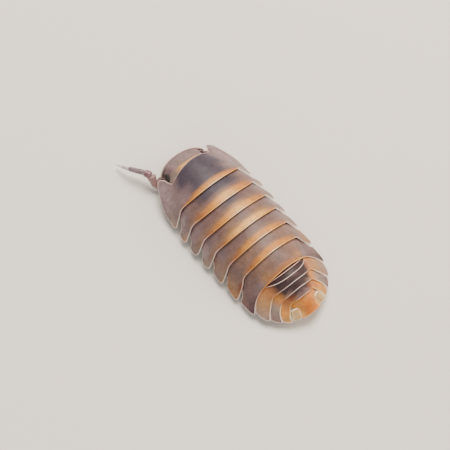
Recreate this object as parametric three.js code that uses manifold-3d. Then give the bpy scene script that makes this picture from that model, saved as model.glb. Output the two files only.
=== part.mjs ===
// A rolling woodlouse at life size, walking pose, head towards -Y, back up.
// Lengths are millimetres. The origin is on the floor, under the middle of the animal's length.
// Along the body, s runs rearward from the front of the head; y = s - originS.
import * as THREE from 'three';
import { mergeVertices } from 'three/addons/utils/BufferGeometryUtils.js';
import Module from 'manifold-3d';

const wasm = await Module();
wasm.setup();

// Driving sizes of the whole animal
const gap = 0.25; // clear space between neighbouring pieces
const shellStep = 0.22; // how far each plate dips under the plate in front of it
const rimStep = 0.08; // the same at the flap's rim
const lipOffset = 0.16; // along the back, from one plate's hind edge to the next plate's start
const crescentOffset = 0.12; // the same between the narrow crescents of the tail
const lipDepth = 0.45; // height of the undercut hind lip
const lipUndercut = 0.3; // how far the lip overhangs
const rimUndercut = 0.12; // the same on the flaps
const frontClearance = 0.1; // how far a plate's front face below the step sets back
const flapThickness = 0.52; // side flap at its root
const flapRimThickness = 0.3; // side flap at its rim
const originS = 6.45; // half way between feeler tip and tail

// Lines of the body: place along it, height of the back, half-width and height of the bend
// where back turns to side flap, half-width and height of the flap's rim
const bodyLines = [
  [-0.8, 1.9, 1.5, 1.4, 3.92, 0.6],
  [0.2, 2.6, 2.0, 1.75, 3.92, 0.6],
  [1.0, 2.95, 2.12, 1.9, 3.92, 0.6],
  [2.2, 3.28, 2.62, 1.99, 3.92, 0.58],
  [3.5, 3.54, 3.04, 2.03, 3.92, 0.55],
  [5.0, 3.72, 3.16, 1.98, 4.08, 0.48],
  [6.5, 3.84, 3.2, 2.0, 4.1, 0.46],
  [8.0, 3.9, 3.11, 2.01, 4.07, 0.42],
  [9.5, 3.86, 3.06, 1.97, 4.02, 0.4],
  [11.0, 3.7, 2.8, 2.0, 3.98, 0.38],
  [12.5, 3.35, 2.12, 2.08, 3.84, 0.4],
  [13.5, 2.98, 1.84, 1.83, 3.62, 0.48],
  [14.5, 2.48, 1.3, 1.48, 3.16, 0.56],
  [15.4, 1.86, 0.9, 1.28, 2.46, 0.6],
  [16.2, 1.2, 0.7, 0.95, 1.36, 0.66],
];

// Hind edge of each plate: s at the midline, at the bend and at the flap's rim, and how late
// the edge swings back along the flap. notch is how far behind the flap before it this flap's
// rim starts, and roundFrom is where along the flap its end starts to round off.
const pereonites = [
  { name: 'pereonite_1', mid: 3.65, bend: 3.38, rim: 4.08, swing: 0.8, notch: 0, roundFrom: 0.6 },
  { name: 'pereonite_2', mid: 5.4, bend: 4.97, rim: 5.4, swing: 0.8, notch: 0.3, roundFrom: 0.55 },
  { name: 'pereonite_3', mid: 6.84, bend: 6.5, rim: 6.84, swing: 0.8, notch: 0.36, roundFrom: 0.55 },
  { name: 'pereonite_4', mid: 8.2, bend: 7.85, rim: 8.26, swing: 0.8, notch: 0.36, roundFrom: 0.55 },
  { name: 'pereonite_5', mid: 9.57, bend: 9.34, rim: 9.84, swing: 0.7, notch: 0.36, roundFrom: 0.55 },
  { name: 'pereonite_6', mid: 10.95, bend: 10.82, rim: 11.66, swing: 0.7, notch: 0.34, roundFrom: 0.55 },
  { name: 'pereonite_7', mid: 12.5, bend: 12.5, rim: 13.5, swing: 2.2, notch: 0.32, roundFrom: 0.6 },
];
const crescents = [
  { name: 'pleonite_1', rise: 0.42, power: 2.4, reach: 0.6, roundFrom: 1 },
  { name: 'pleonite_2', rise: 0.84, power: 4, reach: 0.84, roundFrom: 1 },
];
const tailPlates = [
  { name: 'pleonite_3', mid: 13.82, bend: 13.42, rim: 14.6, swing: 1.2, notch: 0.3, roundFrom: 0.8 },
  { name: 'pleonite_4', mid: 14.36, bend: 14.1, rim: 15.34, swing: 1.2, notch: 0.3, roundFrom: 0.8 },
  { name: 'pleonite_5', mid: 14.9, bend: 14.68, rim: 15.8, swing: 1.2, notch: 0.26, roundFrom: 0.8 },
];

// Front edge of the first plate beside the head: place round the section, then s
const collar = [
  [0, 0.72],
  [0.5, 0.8],
  [0.85, 0.98],
  [1.0, 1.02],
  [1.1, 0.78],
  [1.2, 0.36],
  [1.3, 0.2],
  [1.42, 0.3],
  [1.6, 0.9],
  [1.8, 1.9],
  [2.0, 2.95],
];

// Samples round the section: 0 at the midline, 1 at the bend, 2 at the flap's rim
const backSamples = [0, 0.25, 0.5, 0.75, 1];
const flapSamples = [1.25, 1.5, 1.7, 1.85, 1.95, 2];
const collarSamples = [1.1, 1.2, 1.3, 1.42, 1.55, 1.7, 1.85, 1.95, 2];
const plateSamples = [0, 0.3, 0.65, 1];
const roundingEnd = 0.94;
const roundingApex = 0.62;

// Underside: height of the belly plates and their half-width as a share of the bend's
const bellyHeight = 1.5;
const tailBellyHeight = 1.05;
const bellyShare = 0.66;
const bellyEdge = 0.75;

// Head: half-width, front rim, face and hind edge
const head = {
  halfWidth: 2.02,
  hindMid: 0.56,
  hindSide: 0.84,
  rimMid: -0.76,
  rimSide: 0.16,
  rimHeight: 1.95,
  rimSideHeight: 1.62,
  faceSetBack: 0.3,
  bottomHeight: 1.1,
  bottomSideHeight: 1.3,
  bottomBack: 0.5,
  narrowing: 0.8,
};
const eye = { across: 1.9, place: 0.44, height: 1.78, radii: [0.2, 0.36, 0.24], socket: 0.1 };

// Feelers: joints as [across, s, height], and the radius there
const leftFeeler = [
  [2.16, -0.04, 1.02, 0.25],
  [2.86, 0.22, 0.48, 0.25],
  [2.79, -0.66, 1.2, 0.28],
  [2.99, -1.16, 1.15, 0.25],
  [3.72, -2.3, 0.92, 0.24],
  [3.95, -2.84, 0.66, 0.2],
  [4.12, -3.36, 0.42, 0.09],
];
const rightFeeler = [
  [-2.1, 0.02, 1.0, 0.25],
  [-2.42, 0.22, 0.56, 0.25],
  [-2.66, 1.22, 0.45, 0.25],
  [-2.76, 1.58, 0.42, 0.25],
  [-2.98, 2.75, 0.36, 0.22],
  [-3.05, 3.25, 0.32, 0.18],
  [-3.08, 3.7, 0.26, 0.09],
];
const feelerSides = 8;

// Mouthparts: two lobes side by side below the head
const mouth = { across: 0.34, place: 0.28, height: 0.62, radii: [0.46, 0.52, 0.24] };

// Tail shield: s, half-width, height at the midline and at the edge
const shield = [
  [14.98, 1.0, 2.06, 1.62],
  [15.38, 0.66, 1.84, 1.44],
  [15.72, 0.72, 1.54, 1.14],
  [16.02, 0.88, 1.28, 0.94],
  [16.16, 0.82, 1.16, 0.9],
];
const shieldBottom = 0.74;
const shieldBow = 0.12;
const uropod = {
  frontInner: [0.93, 15.3, 1.32],
  frontOuter: [1.12, 14.96, 1.32],
  hindInner: [1.14, 16.02, 0.88],
  hindOuter: [1.56, 15.84, 0.8],
  thickness: 0.3,
};

// Legs: joints as share of the body's width there, reach along the body as share of the sweep,
// height and radius. The foot is flat on the floor.
const legJoints = [
  [0.56, 0, 1.25, 0.25],
  [0.56, 0, 1.0, 0.26],
  [0.31, -0.35, 0.78, 0.26],
  [0.52, 0.05, 0.7, 0.25],
  [0.7, 0.45, 0.62, 0.24],
  [0.84, 0.85, 0.3, 0.2],
  [0.88, 1, -0.08, 0.13],
];
const legSides = 6;
const legSweeps = [-0.85, -0.8, -0.65, -0.5, 0.6, 0.75, 0.85];
const legSetBack = 0.28;
const firstHip = 2.15;

// Gill plates below the tail: s of the first, spacing, length, half-widths and heights
const gills = { count: 5, first: 12.62, pitch: 0.53, length: 0.3, across: 1.05, narrowing: 0.13, fall: 0.06 };
const gillHeights = [0.45, 0.78];

const colours = {
  shell: 0x8d7c80,
  gold: 0xb98a5c,
  pale: 0xc9b7a8,
  feeler: 0xb9a0a4,
  eye: 0x221b1c,
  leg: 0xb8aba6,
};

const animal = new THREE.Group();

function lerp(a, b, t) {
  return a + (b - a) * t;
}

// Smooth values between the rows of a table whose first column is the place
function along(table, place) {
  const last = table.length - 1;
  let row = 0;
  while (row < last - 1 && table[row + 1][0] < place) row += 1;
  const before = table[Math.max(row - 1, 0)];
  const start = table[row];
  const end = table[row + 1];
  const after = table[Math.min(row + 2, last)];
  const span = end[0] - start[0];
  const t = THREE.MathUtils.clamp((place - start[0]) / span, 0, 1);
  return start.slice(1).map((value, column) => {
    const c = column + 1;
    const slopeIn = (end[c] - before[c]) / (end[0] - before[0]);
    const slopeOut = (after[c] - start[c]) / (after[0] - start[0]);
    const t2 = t * t;
    const t3 = t2 * t;
    return (2 * t3 - 3 * t2 + 1) * value + (t3 - 2 * t2 + t) * slopeIn * span
      + (3 * t2 - 2 * t3) * end[c] + (t3 - t2) * slopeOut * span;
  });
}

// A point of the shell at place s, round the section at v, some depth below its surface
function shellPoint(s, v, depth = 0) {
  const [backHeight, bendWidth, bendHeight, rimWidth, rimHeight] = along(bodyLines, s);
  const side = v < 0 ? -1 : 1;
  const round = Math.abs(v);
  const slope = (bendHeight - rimHeight) / (rimWidth - bendWidth);
  const secant = slope * bendWidth / (backHeight - bendHeight) - 1;
  const bendAngle = Math.acos(1 / Math.max(secant, 1.4));
  const normal = new THREE.Vector2();
  let across;
  let height;
  if (round <= 1) {
    const radiusAcross = bendWidth / Math.sin(bendAngle);
    const radiusUp = (backHeight - bendHeight) / (1 - Math.cos(bendAngle));
    const angle = round * bendAngle;
    across = radiusAcross * Math.sin(angle);
    height = backHeight - radiusUp * (1 - Math.cos(angle));
    normal.set(Math.sin(angle) / radiusAcross, Math.cos(angle) / radiusUp).normalize();
  } else {
    across = lerp(bendWidth, rimWidth, round - 1);
    height = lerp(bendHeight, rimHeight, round - 1);
    normal.set(slope, 1).normalize();
  }
  return new THREE.Vector3(side * (across - normal.x * depth), s - originS, height - normal.y * depth);
}

function flapDepth(round) {
  return lerp(flapThickness, flapRimThickness, Math.max(round - 1, 0));
}

// A point of the underside: inner face of the flap, then the flat belly
function bellyPoint(s, v) {
  const round = Math.abs(v);
  if (round > 1) return shellPoint(s, v, flapDepth(round));
  const side = v < 0 ? -1 : 1;
  const bendWidth = along(bodyLines, s)[1];
  const toTail = THREE.MathUtils.smoothstep(s, 11.5, 15);
  const height = lerp(bellyHeight, tailBellyHeight, toTail);
  const share = Math.min(round / bellyEdge, 1);
  const flat = new THREE.Vector3(side * bellyShare * bendWidth * share, s - originS, height);
  if (round <= bellyEdge) return flat;
  return flat.lerp(shellPoint(s, v, flapThickness), (round - bellyEdge) / (1 - bellyEdge));
}

// Closed solid through a row of closed profiles that all have the same number of points
function loftSolid(profiles) {
  const size = profiles[0].length;
  const positions = [];
  const faces = [];
  for (const profile of profiles) {
    for (const point of profile) positions.push(point.x, point.y, point.z);
  }
  for (let row = 0; row < profiles.length - 1; row += 1) {
    for (let k = 0; k < size; k += 1) {
      const a = row * size + k;
      const b = row * size + (k + 1) % size;
      faces.push(a, b, b + size, a, b + size, a + size);
    }
  }
  for (const [row, turned] of [[0, true], [profiles.length - 1, false]]) {
    const middle = new THREE.Vector3();
    for (const point of profiles[row]) middle.addScaledVector(point, 1 / size);
    const centre = positions.length / 3;
    positions.push(middle.x, middle.y, middle.z);
    for (let k = 0; k < size; k += 1) {
      const a = row * size + k;
      const b = row * size + (k + 1) % size;
      faces.push(...(turned ? [centre, b, a] : [centre, a, b]));
    }
  }
  const geometry = new THREE.BufferGeometry();
  geometry.setAttribute('position', new THREE.Float32BufferAttribute(positions, 3));
  geometry.setIndex(faces);
  return outward(geometry);
}

function signedVolume(geometry) {
  const index = geometry.index.array;
  const [a, b, c] = [new THREE.Vector3(), new THREE.Vector3(), new THREE.Vector3()];
  let total = 0;
  for (let k = 0; k < index.length; k += 3) {
    a.fromBufferAttribute(geometry.attributes.position, index[k]);
    b.fromBufferAttribute(geometry.attributes.position, index[k + 1]);
    c.fromBufferAttribute(geometry.attributes.position, index[k + 2]);
    total += a.dot(b.cross(c)) / 6;
  }
  return total;
}

// The same closed surface with its faces pointing out
function outward(geometry) {
  if (signedVolume(geometry) < 0) geometry.index.array.reverse();
  return geometry;
}

function toSolid(geometry) {
  const bare = geometry.clone();
  bare.deleteAttribute('normal');
  bare.deleteAttribute('uv');
  const merged = mergeVertices(bare, 1e-4);
  return new wasm.Manifold(new wasm.Mesh({
    numProp: 3,
    vertProperties: new Float32Array(merged.attributes.position.array),
    triVerts: new Uint32Array(merged.index.array),
  }));
}

// The largest closed surface of a solid, as a geometry
function toGeometry(solid) {
  const pieces = solid.decompose();
  const largest = pieces.reduce((best, piece) => (piece.volume() > best.volume() ? piece : best));
  const mesh = largest.getMesh();
  const geometry = new THREE.BufferGeometry();
  geometry.setAttribute('position', new THREE.Float32BufferAttribute(mesh.vertProperties, 3));
  geometry.setIndex(Array.from(mesh.triVerts));
  return geometry;
}

function joined(geometries) {
  return geometries.map(toSolid).reduce((sum, solid) => sum.add(solid));
}

function addNode(name, geometry, colour, roughness = 0.45) {
  const material = new THREE.MeshStandardMaterial({ color: colour, roughness, metalness: 0 });
  const mesh = new THREE.Mesh(geometry, material);
  mesh.name = name;
  animal.add(mesh);
}

// Hind edge of a plate, as s round the section
function hindEdge(plate, v) {
  const round = Math.abs(v);
  if (round <= 1) return lerp(plate.mid, plate.bend, round ** 2.5);
  return lerp(plate.bend, plate.rim, (round - 1) ** plate.swing);
}

function crescentEdge(crescent, v) {
  return hindEdge(pereonites[6], v) + crescent.rise * Math.max(1 - Math.abs(v) ** crescent.power, 0);
}

// Front edge of a plate that follows another
function followingEdge(plate, edgeBefore, v) {
  const round = Math.abs(v);
  if (round <= 1) return edgeBefore(round) + lerp(lipOffset, gap, round ** 4);
  return edgeBefore(round) + lerp(gap, plate.notch, round - 1);
}

// Flap ends are round: both edges draw together towards the rim
function roundedEnd(plate, front, hind, v) {
  const flap = Math.abs(v) - 1;
  if (flap <= plate.roundFrom) return [front, hind];
  const t = roundingEnd * (flap - plate.roundFrom) / (1 - plate.roundFrom);
  const width = Math.sqrt(1 - t * t);
  const apex = lerp(front, hind, roundingApex);
  return [lerp(apex, front, width), lerp(apex, hind, width)];
}

// Profile of a plate and the slice of body below it, cut lengthwise at v
function plateProfile(front, hind, v) {
  const flap = Math.max(Math.abs(v) - 1, 0);
  const step = lerp(shellStep, rimStep, flap);
  const lip = Math.abs(v) < 1 ? lipDepth : flapDepth(Math.abs(v)) / 2;
  const under = Math.min(lerp(lipUndercut, rimUndercut, Math.min(flap * 2, 1)), hind - front);
  const clear = Math.min(frontClearance, (hind - front) / 3);
  const top = plateSamples.map((t) => shellPoint(lerp(front, hind, t), v, step * (1 - t) ** 1.5));
  return [
    ...top,
    shellPoint(hind - under, v, lip),
    bellyAt(hind - under, hind, v),
    bellyAt(front - under + clear, front, v),
    shellPoint(front - under + clear * 0.7, v, step + lip),
  ];
}

// Belly point whose height and width belong to one place and whose length place is another
function bellyAt(place, measured, v) {
  const point = bellyPoint(measured, v);
  point.y = place - originS;
  return point;
}

function mirrored(samples) {
  return [...samples.slice(1).reverse().map((v) => -v), ...samples];
}

function plateSolid(plate, samples, frontEdge, backEdge) {
  return loftSolid(mirrored(samples).map((v) => {
    const [front, hind] = roundedEnd(plate, frontEdge(v), backEdge(v), v);
    return plateProfile(front, hind, v);
  }));
}

// Trunk plates, each with its slice of the body
function addTrunk() {
  pereonites.forEach((plate, k) => {
    const first = k === 0;
    const front = first
      ? (v) => along(collar, Math.abs(v))[0]
      : (v) => followingEdge(plate, (w) => hindEdge(pereonites[k - 1], w), v);
    const samples = [...backSamples, ...(first ? collarSamples : flapSamples)];
    addNode(plate.name, plateSolid(plate, samples, front, (v) => hindEdge(plate, v)), colours.shell);
  });
}

// Two narrow crescents without flaps, then three tail plates whose flaps sweep back
function addTail() {
  let edgeBefore = (v) => hindEdge(pereonites[6], v);
  for (const crescent of crescents) {
    const samples = [0, 0.25, 0.5, 0.75, 1].map((t) => t * crescent.reach);
    const before = edgeBefore;
    const edge = (v) => crescentEdge(crescent, v);
    addNode(crescent.name, plateSolid(crescent, samples, (v) => before(v) + crescentOffset, edge), colours.gold);
    edgeBefore = edge;
  }
  for (const plate of tailPlates) {
    const before = edgeBefore;
    const front = (v) => followingEdge(plate, before, v);
    const edge = (v) => hindEdge(plate, v);
    addNode(plate.name, plateSolid(plate, [...backSamples, ...flapSamples], front, edge), colours.gold);
    edgeBefore = edge;
  }
}

// Head: profiles cut lengthwise, from the left side to the right
function headProfile(t) {
  const edge = 1 - Math.sqrt(1 - (0.98 * t) ** 2);
  const across = head.halfWidth * t;
  const back = shellPoint(lerp(head.hindMid, head.hindSide, t * t), t * 0.93);
  const rimPlace = lerp(head.rimMid, head.rimSide, edge);
  const rim = new THREE.Vector3(across, rimPlace - originS, lerp(head.rimHeight, head.rimSideHeight, t * t));
  const bulge = new THREE.Vector3(
    (back.x + rim.x) / 2,
    lerp(back.y, rim.y, 0.62),
    lerp(back.z, rim.z, 0.34),
  );
  const top = new THREE.QuadraticBezierCurve3(back, bulge, rim).getPoints(3);
  const floorHeight = lerp(head.bottomHeight, head.bottomSideHeight, t * t);
  const low = across * head.narrowing;
  const faceY = Math.min(rim.y + head.faceSetBack, head.bottomBack - originS - 0.3);
  const backY = Math.max(head.bottomBack - originS, faceY + 0.25);
  return [
    ...top,
    new THREE.Vector3(across * 0.97, rim.y + 0.08, rim.z - 0.22),
    new THREE.Vector3(low, faceY, floorHeight),
    new THREE.Vector3(low, backY, floorHeight),
    new THREE.Vector3(back.x * 0.93, back.y - lipUndercut, back.z - lipDepth),
  ];
}

function ellipsoid(centre, radii, grow = 0, detail = 12) {
  const geometry = new THREE.SphereGeometry(1, detail, Math.round(detail * 0.6));
  geometry.scale(radii[0] + grow, radii[1] + grow, radii[2] + grow);
  geometry.translate(centre[0], centre[1] - originS, centre[2]);
  return geometry;
}

function addHead() {
  const turns = [0, 0.22, 0.44, 0.64, 0.8, 0.92, 1];
  let solid = toSolid(loftSolid(mirrored(turns).map(headProfile)));
  for (const [side, label] of [[1, 'left'], [-1, 'right']]) {
    const centre = [side * eye.across, eye.place, eye.height];
    solid = solid.subtract(toSolid(ellipsoid(centre, eye.radii, eye.socket)));
    addNode(`eye_${label}`, ellipsoid(centre, eye.radii), colours.eye, 0.2);
  }
  addNode('head', toGeometry(solid), colours.shell);
  const lobes = [1, -1].map((side) => ellipsoid([side * mouth.across, mouth.place, mouth.height], mouth.radii));
  addNode('mouthparts', toGeometry(joined(lobes)), colours.leg);
}

// A closed article between two joints, turned from its own outline
function article(start, end, startRadius, endRadius, sides, flatStart = false) {
  const axis = end.clone().sub(start);
  const length = axis.length();
  const back = flatStart ? 0 : -0.4 * startRadius;
  const outline = [
    new THREE.Vector2(0, back),
    new THREE.Vector2((flatStart ? 1 : 0.8) * startRadius, back),
    new THREE.Vector2(endRadius, length + 0.2 * endRadius),
    new THREE.Vector2(0, length + 0.4 * endRadius),
  ];
  const geometry = new THREE.LatheGeometry(outline, sides);
  const up = new THREE.Vector3(0, 1, 0);
  geometry.applyQuaternion(new THREE.Quaternion().setFromUnitVectors(up, axis.normalize()));
  geometry.translate(start.x, start.y, start.z);
  return geometry;
}

// A jointed limb: the union of its articles, flat where it meets the body
function limb(joints, sides) {
  const points = joints.map(([x, s, z]) => new THREE.Vector3(x, s - originS, z));
  const articles = points.slice(1).map((end, k) => (
    article(points[k], end, joints[k][3], joints[k + 1][3], sides, k === 0)
  ));
  return joined(articles);
}

function addFeelers() {
  addNode('antenna_left', toGeometry(limb(leftFeeler, feelerSides)), colours.feeler);
  addNode('antenna_right', toGeometry(limb(rightFeeler, feelerSides)), colours.feeler);
}

function belowFloor() {
  const slab = new THREE.BoxGeometry(20, 40, 2);
  slab.translate(0, 0, -1);
  return toSolid(slab);
}

function addLegs() {
  const under = belowFloor();
  pereonites.forEach((plate, k) => {
    const before = k === 0 ? 0 : pereonites[k - 1].mid;
    const hip = k === 0 ? firstHip : (before + plate.mid) / 2 - legSetBack;
    const width = along(bodyLines, hip)[1];
    for (const [side, label] of [[1, 'left'], [-1, 'right']]) {
      const joints = legJoints.map(([share, reach, height, radius]) => (
        [side * share * width, hip + reach * legSweeps[k], height, radius]
      ));
      const solid = limb(joints, legSides).subtract(under);
      addNode(`leg_${label}_${k + 1}`, toGeometry(solid), colours.leg);
    }
  });
}

// Tail shield, waisted, with a gently bowed hind rim
function addShield() {
  const turns = [-1, -0.6, -0.2, 0.2, 0.6, 1];
  const rows = shield.map(([place, halfWidth, middle, side]) => {
    const top = turns.map((t) => (
      new THREE.Vector3(halfWidth * t, place - shieldBow * t * t - originS, lerp(middle, side, t * t))
    ));
    const bottom = [1, -1].map((t) => (
      new THREE.Vector3(halfWidth * t * 0.9, place - shieldBow - originS, shieldBottom)
    ));
    return [...top, ...bottom];
  });
  addNode('telson', loftSolid(rows), colours.gold);
}

// A tail limb plate from its four corners
function addUropods() {
  const corners = [uropod.frontInner, uropod.frontOuter, uropod.hindOuter, uropod.hindInner];
  for (const [side, label] of [[1, 'left'], [-1, 'right']]) {
    const [a, b, c, d] = corners.map(([x, s, z]) => new THREE.Vector3(side * x, s - originS, z));
    const rows = [0, 0.35, 0.8, 1].map((t) => {
      const inner = a.clone().lerp(d, t);
      const outer = b.clone().lerp(c, t);
      const crown = inner.clone().lerp(outer, 0.5).add(new THREE.Vector3(0, 0, 0.06));
      const thin = t === 1 ? 0.6 : 1;
      const down = new THREE.Vector3(0, 0, -uropod.thickness * thin);
      return [inner, crown, outer, outer.clone().add(down), inner.clone().add(down)];
    });
    addNode(`uropod_${label}`, loftSolid(rows), colours.pale);
  }
}

function addGills() {
  for (let k = 0; k < gills.count; k += 1) {
    const [bottom, top] = gillHeights.map((height) => height - k * gills.fall);
    const front = gills.first + k * gills.pitch;
    const halfWidth = gills.across - k * gills.narrowing;
    const rows = [-1, -0.85, -0.5, 0, 0.5, 0.85, 1].map((t) => {
      const shrink = Math.sqrt(1 - (0.9 * t) ** 2);
      const hind = front + gills.length * (0.5 + 0.5 * shrink);
      const low = lerp(top, bottom, 0.5 + 0.5 * shrink);
      return [[front, top], [hind, top - 0.06], [hind + 0.02, low], [front + 0.04, low + 0.06]].map(([s, z]) => (
        new THREE.Vector3(halfWidth * t, s - originS, z)
      ));
    });
    addNode(`pleopods_${k + 1}`, loftSolid(rows), colours.pale);
  }
}

addHead();
addFeelers();
addTrunk();
addTail();
addShield();
addUropods();
addLegs();
addGills();

export default animal;
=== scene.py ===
# Rolling woodlouse at life size in its walking pose: shell plates, head, feelers, legs and tail,
# each with its own finish, on a plain pale floor.
import math
import bpy
import numpy as np
from mathutils import Matrix, Vector
from mathutils.kdtree import KDTree


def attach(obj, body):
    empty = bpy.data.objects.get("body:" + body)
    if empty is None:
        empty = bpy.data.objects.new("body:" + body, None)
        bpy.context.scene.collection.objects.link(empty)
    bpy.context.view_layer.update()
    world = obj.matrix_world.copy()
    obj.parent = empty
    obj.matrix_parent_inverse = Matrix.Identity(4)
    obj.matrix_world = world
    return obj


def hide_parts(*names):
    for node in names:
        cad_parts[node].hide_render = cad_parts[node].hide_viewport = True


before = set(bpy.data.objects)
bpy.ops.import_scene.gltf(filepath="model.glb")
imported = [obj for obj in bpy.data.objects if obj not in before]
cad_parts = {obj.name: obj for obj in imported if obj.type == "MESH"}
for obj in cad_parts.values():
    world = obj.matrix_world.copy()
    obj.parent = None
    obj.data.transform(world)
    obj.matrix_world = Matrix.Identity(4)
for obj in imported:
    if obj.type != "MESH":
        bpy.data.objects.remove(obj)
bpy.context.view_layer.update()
print("frame loaded:", len(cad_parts), "nodes")

mm = 0.001

# Shared sizes of the animal in millimetres; s runs rearward from the head's front, y = s - originS
animal = {
    "originS": 6.45,
    "shellStep": 0.18,  # how far each plate dips under the one in front of it
    "rimStep": 0.08,  # the same at the rim of the side flap
    "tuck": 0.42,  # length of each plate hidden under the one in front, on the back
    "flapTuck": 0.2,  # the same on the side flaps
    "plateThickness": 0.12,
    "edgeThickness": 0.07,
    "beadHeight": 0.02,  # swelling along every free edge
    "beadWidth": 0.06,
    "flare": 0.05,  # how far the side flaps turn up at the rim
    "bendBlend": 0.16,  # half-width, in section places, over which back turns into flap
}

# Lines of the body: place along it, height of the back, half-width and height of the bend
# where back turns to side flap, half-width and height of the flap's rim
bodyLines = [
    [-0.8, 1.9, 1.5, 1.4, 3.92, 0.6],
    [0.2, 2.6, 2.0, 1.75, 3.92, 0.6],
    [1.0, 2.95, 2.12, 1.9, 3.92, 0.6],
    [2.2, 3.28, 2.62, 1.99, 3.92, 0.58],
    [3.5, 3.54, 3.04, 2.03, 3.92, 0.55],
    [5.0, 3.72, 3.16, 1.98, 4.08, 0.48],
    [6.5, 3.84, 3.2, 2.0, 4.1, 0.46],
    [8.0, 3.9, 3.11, 2.01, 4.07, 0.42],
    [9.5, 3.86, 3.06, 1.97, 4.02, 0.4],
    [11.0, 3.7, 2.8, 2.0, 3.98, 0.38],
    [12.5, 3.35, 2.12, 2.08, 3.84, 0.4],
    [13.5, 2.98, 1.84, 1.83, 3.62, 0.48],
    [14.5, 2.48, 1.3, 1.48, 3.12, 0.56],
    [15.4, 1.86, 0.9, 1.28, 2.24, 0.6],
    [16.2, 1.2, 0.7, 0.95, 1.0, 0.66],
]

# Hind edge of each plate: s at the midline, at the bend and at the flap's rim, how late the edge
# swings back along the flap, how far behind the flap before it this rim starts and how much more
# it is drawn in at mid flap; then the flap's end: where its front and its hind edge begin to round
# off, how squarely each does, and where between them the tip lies
trunkPlates = [
    {"name": "pereonite_1", "edge": (3.65, 3.38, 4.08), "swing": 0.8, "notch": 0,
     "frontEnd": (0.94, 2), "hindEnd": (0.82, 2.4), "tip": 0.56},
    {"name": "pereonite_2", "edge": (5.4, 4.97, 5.44), "swing": 0.8, "notch": 0.5, "waist": 0.18,
     "frontEnd": (0.88, 2.1), "hindEnd": (0.76, 2.4), "tip": 0.6},
    {"name": "pereonite_3", "edge": (6.84, 6.5, 6.88), "swing": 0.8, "notch": 0.5,
     "frontEnd": (0.82, 2.2), "hindEnd": (0.64, 2.6), "tip": 0.56},
    {"name": "pereonite_4", "edge": (8.2, 7.85, 8.3), "swing": 0.8, "notch": 0.44,
     "frontEnd": (0.8, 2), "hindEnd": (0.66, 2.6), "tip": 0.62},
    {"name": "pereonite_5", "edge": (9.57, 9.34, 9.86), "swing": 0.7, "notch": 0.36,
     "frontEnd": (0.84, 1.5), "hindEnd": (0.74, 2.6), "tip": 0.72},
    {"name": "pereonite_6", "edge": (10.95, 10.82, 11.66), "swing": 0.7, "notch": 0.34,
     "frontEnd": (0.82, 1.4), "hindEnd": (0.82, 2.4), "tip": 0.8},
    {"name": "pereonite_7", "edge": (12.53, 12.5, 13.5), "swing": 2.2, "notch": 0.27,
     "frontEnd": (0.92, 1.5), "hindEnd": (0.94, 2), "tip": 0.85},
]
crescents = [
    {"name": "pleonite_1", "rise": 0.24, "power": 2, "inset": 0.06},
    {"name": "pleonite_2", "rise": 0.66, "power": 2.6, "inset": 0},
]
tailPlates = [
    {"name": "pleonite_3", "edge": (13.7, 13.42, 14.6), "swing": 1.2, "notch": 0.06,
     "frontEnd": (0.88, 1.5), "hindEnd": (0.97, 2), "tip": 0.9},
    {"name": "pleonite_4", "edge": (14.26, 14.1, 15.34), "swing": 1.2, "notch": 0.06,
     "frontEnd": (0.9, 1.6), "hindEnd": (0.97, 2), "tip": 0.9},
    {"name": "pleonite_5", "edge": (14.87, 14.68, 15.8), "swing": 0.85, "notch": 0.05,
     "frontEnd": (0.9, 1.6), "hindEnd": (0.95, 2), "tip": 0.85},
]

# Front edge of the first plate beside the head: place round the section, then s
collar = [
    [0, 0.72],
    [0.5, 0.8],
    [0.85, 0.98],
    [1.0, 1.02],
    [1.1, 0.78],
    [1.2, 0.36],
    [1.3, 0.2],
    [1.42, 0.3],
    [1.6, 0.9],
    [1.8, 1.9],
    [2.0, 2.95],
]
# The head looks a little to the left: how far the collar's edge is moved back at each place,
# from the right rim to the left one
collarSkew = [
    [-2, -0.1],
    [-1.6, -0.12],
    [-1.3, -0.2],
    [-1.15, -0.34],
    [-1.05, -0.46],
    [-0.97, -0.32],
    [-0.88, -0.17],
    [0, 0],
    [1, 0.16],
    [1.25, 0],
    [2, 0],
]


def lerp(a, b, t):
    return a + (b - a) * t


def smooth(t):
    t = np.clip(t, 0, 1)
    return t * t * (3 - 2 * t)


# 1 at the centre, fading to nothing about two widths away
def hump(value, centre, width):
    return np.exp(-((value - centre) / width) ** 2)


# Smooth values between the rows of a table whose first column is the place
def along(table, place):
    rows = np.asarray(table, float)
    place = np.asarray(place, float)
    last = len(rows) - 1
    k = np.clip(np.searchsorted(rows[1:, 0], place, side="left"), 0, last - 1)
    before, start = rows[np.maximum(k - 1, 0)], rows[k]
    end, after = rows[k + 1], rows[np.minimum(k + 2, last)]
    span = (end[..., 0] - start[..., 0])[..., None]
    t = np.clip((place[..., None] - start[..., :1]) / span, 0, 1)
    slopeIn = (end - before)[..., 1:] / (end - before)[..., :1]
    slopeOut = (after - start)[..., 1:] / (after - start)[..., :1]
    t2, t3 = t * t, t * t * t
    return (
        (2 * t3 - 3 * t2 + 1) * start[..., 1:]
        + (t3 - 2 * t2 + t) * slopeIn * span
        + (3 * t2 - 2 * t3) * end[..., 1:]
        + (t3 - t2) * slopeOut * span
    )


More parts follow.
